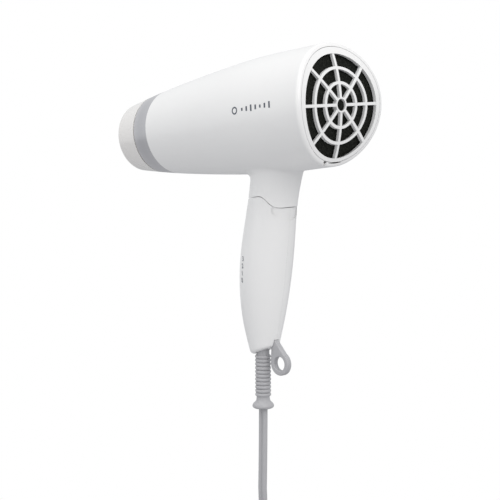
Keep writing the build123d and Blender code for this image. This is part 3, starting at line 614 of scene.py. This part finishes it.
# ---------------------------------------------------------------- printed marks
PRINT_LIFT = 0.06 * MM
MARK_HEIGHT = 113.7 * MM
MARK_SIDE = -41.0 * MM  # close under the barrel's left face, so that face is the nearest
MARK_RING_X = 28.5 * MM
MARK_RING_R = 2.7 * MM
MARK_RING_LINE = 1.0 * MM
MARK_BAR_X = 36.0 * MM
MARK_BAR_PITCH = 4.4 * MM
MARK_BAR_WIDTH = 1.5 * MM
MARK_BARS = [height * MM for height in (2.0, 3.2, 4.4, 3.2, 2.0, 3.2, 4.4)]
FIGURE_SIZE = 4.8 * MM
FIGURE_BOLD = 0.12 * MM
FIGURE_TOP = 12.0 * MM  # the uppermost figure's height
FIGURE_PITCH = 5.0 * MM
FIGURE_FORWARD = 7.6 * MM  # how far the figures are in front of the handle's centreline
FIGURE_SIDE = -16.6 * MM
FIGURE_FACING = math.radians(-20)
HANDLE_LEAN = 0.243  # the handle's centreline is x = lean * z + bow * z * z
HANDLE_BOW = 1.1


def printed(piece, target, body):
    """Lays a flat mark on a shell, a hair above it."""
    choose(piece)
    bpy.ops.object.transform_apply(location=True, rotation=True, scale=True)
    wrap = piece.modifiers.new("lay", "SHRINKWRAP")
    wrap.target = target
    wrap.wrap_method = "NEAREST_SURFACEPOINT"
    wrap.wrap_mode = "ABOVE_SURFACE"
    wrap.offset = PRINT_LIFT
    apply_all(piece)
    piece.data.materials.clear()
    piece.data.materials.append(PRINT_INK)
    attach(piece, body)


def side_mark(shell):
    """A plain ring and a row of bars on the barrel's left side, as a generic print."""
    bpy.ops.object.select_all(action="DESELECT")
    bpy.ops.mesh.primitive_circle_add(
        vertices=40,
        radius=MARK_RING_R,
        fill_type="NGON",
        location=(MARK_RING_X, MARK_SIDE, MARK_HEIGHT),
        rotation=(QUARTER_TURN, 0, 0),
    )
    marks = [bpy.context.active_object]
    bpy.ops.object.mode_set(mode="EDIT")
    bpy.ops.mesh.inset(thickness=MARK_RING_LINE)
    bpy.ops.mesh.delete(type="FACE")
    bpy.ops.object.mode_set(mode="OBJECT")
    for i, height in enumerate(MARK_BARS):
        bpy.ops.object.select_all(action="DESELECT")
        bpy.ops.mesh.primitive_grid_add(
            x_subdivisions=4,
            y_subdivisions=10,
            size=1.0,
            location=(MARK_BAR_X + MARK_BAR_PITCH * i, MARK_SIDE, MARK_HEIGHT),
            rotation=(QUARTER_TURN, 0, 0),
        )
        bar = bpy.context.active_object
        bar.scale = (MARK_BAR_WIDTH, height, 1.0)
        marks.append(bar)
    printed(joined(marks, "side_print"), shell, "barrel")


def switch_figures(shell):
    """The figures 3 to 0 down the handle's left side, beside the switch."""
    figures = []
    for i in range(4):
        height = FIGURE_TOP - FIGURE_PITCH * i
        centre_x = HANDLE_LEAN * height + HANDLE_BOW * height * height
        place = (centre_x - FIGURE_FORWARD, FIGURE_SIDE, height)
        bpy.ops.object.select_all(action="DESELECT")
        bpy.ops.object.text_add(location=place, rotation=(QUARTER_TURN, 0, FIGURE_FACING))
        figure = bpy.context.active_object
        figure.data.body = str(3 - i)
        figure.data.size = FIGURE_SIZE
        figure.data.offset = FIGURE_BOLD
        figure.data.align_x = "CENTER"
        figure.data.align_y = "CENTER"
        choose(figure)
        bpy.ops.object.convert(target="MESH")
        bpy.ops.object.mode_set(mode="EDIT")
        bpy.ops.mesh.select_all(action="SELECT")
        bpy.ops.mesh.subdivide(number_cuts=3)
        bpy.ops.object.mode_set(mode="OBJECT")
        figures.append(bpy.context.active_object)
    printed(joined(figures, "switch_figures"), shell, "handle")


# ---------------------------------------------------------------- stage and light
FLOOR_SIZE = 12.0
FLOOR_GAP = 0.03  # from the CAD's lowest point down to the floor
FLOOR_COLOUR = (0.55, 0.55, 0.56)
FLOOR_ROUGHNESS = 0.9
SKY_COLOUR = (0.97, 0.985, 1.0)
SKY_STRENGTH = 0.80
LAMP_COLOUR = (1.0, 0.975, 0.95)
LAMP_AIM = Vector((0, 0, 0.06))


def make_stage():
    """A wide floor that the camera sees as plain white, and that reflects a soft grey."""
    bpy.ops.object.select_all(action="DESELECT")
    bpy.ops.mesh.primitive_plane_add(size=FLOOR_SIZE, location=(0, 0, cad_box[0].z - FLOOR_GAP))
    floor = bpy.context.active_object
    floor.name = "floor"
    material = bpy.data.materials.new("floor_white")
    material.use_nodes = True
    tree = material.node_tree
    shader = tree.nodes["Principled BSDF"]
    shader.inputs["Base Color"].default_value = (*FLOOR_COLOUR, 1.0)
    shader.inputs["Roughness"].default_value = FLOOR_ROUGHNESS
    glow = tree.nodes.new("ShaderNodeEmission")
    path = tree.nodes.new("ShaderNodeLightPath")
    mix = tree.nodes.new("ShaderNodeMixShader")
    tree.links.new(path.outputs["Is Camera Ray"], mix.inputs["Fac"])
    tree.links.new(shader.outputs["BSDF"], mix.inputs[1])
    tree.links.new(glow.outputs["Emission"], mix.inputs[2])
    tree.links.new(mix.outputs["Shader"], tree.nodes["Material Output"].inputs["Surface"])
    floor.data.materials.append(material)


def light_world():
    """A background that the camera sees as plain white, and that lights the dryer a little less."""
    world = bpy.data.worlds.new("studio")
    bpy.context.scene.world = world
    world.use_nodes = True
    tree = world.node_tree
    seen = tree.nodes["Background"]
    seen.inputs["Color"].default_value = (1, 1, 1, 1)
    lit = tree.nodes.new("ShaderNodeBackground")
    path = tree.nodes.new("ShaderNodeLightPath")
    lit.inputs["Color"].default_value = (*SKY_COLOUR, 1.0)
    lit.inputs["Strength"].default_value = SKY_STRENGTH
    mix = tree.nodes.new("ShaderNodeMixShader")
    tree.links.new(path.outputs["Is Camera Ray"], mix.inputs["Fac"])
    tree.links.new(lit.outputs["Background"], mix.inputs[1])
    tree.links.new(seen.outputs["Background"], mix.inputs[2])
    tree.links.new(mix.outputs["Shader"], tree.nodes["World Output"].inputs["Surface"])


def soft_light(name, place, size, power):
    """A square soft box that looks at the dryer."""
    lamp = bpy.data.lights.new(name, "AREA")
    lamp.size = size
    lamp.energy = power
    lamp.color = LAMP_COLOUR
    holder = bpy.data.objects.new(name, lamp)
    bpy.context.scene.collection.objects.link(holder)
    holder.location = place
    holder.rotation_euler = (LAMP_AIM - Vector(place)).to_track_quat("-Z", "Y").to_euler()


# ---------------------------------------------------------------- the dryer
place_camera()
dress_frame()
skins = {node: skin(node) for node in SMOOTH_NODES}
make_filter()
make_knob()
cord, cord_path = make_cord()
settle(cord, "handle", FINISHES["grey_pvc"])
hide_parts("power_cord", "cord_coil", "cord_end")
side_mark(skins["barrel_shell"])
switch_figures(skins["handle_left"])
make_stage()
light_world()
soft_light("top_box", place=(0.25, -0.35, 1.3), size=1.1, power=6.0)
soft_light("rear_box", place=(1.3, -0.3, 0.55), size=0.9, power=7.0)
soft_light("side_box", place=(-0.5, -1.4, 0.5), size=0.9, power=2.6)
bpy.context.scene.view_settings.view_transform = "Standard"
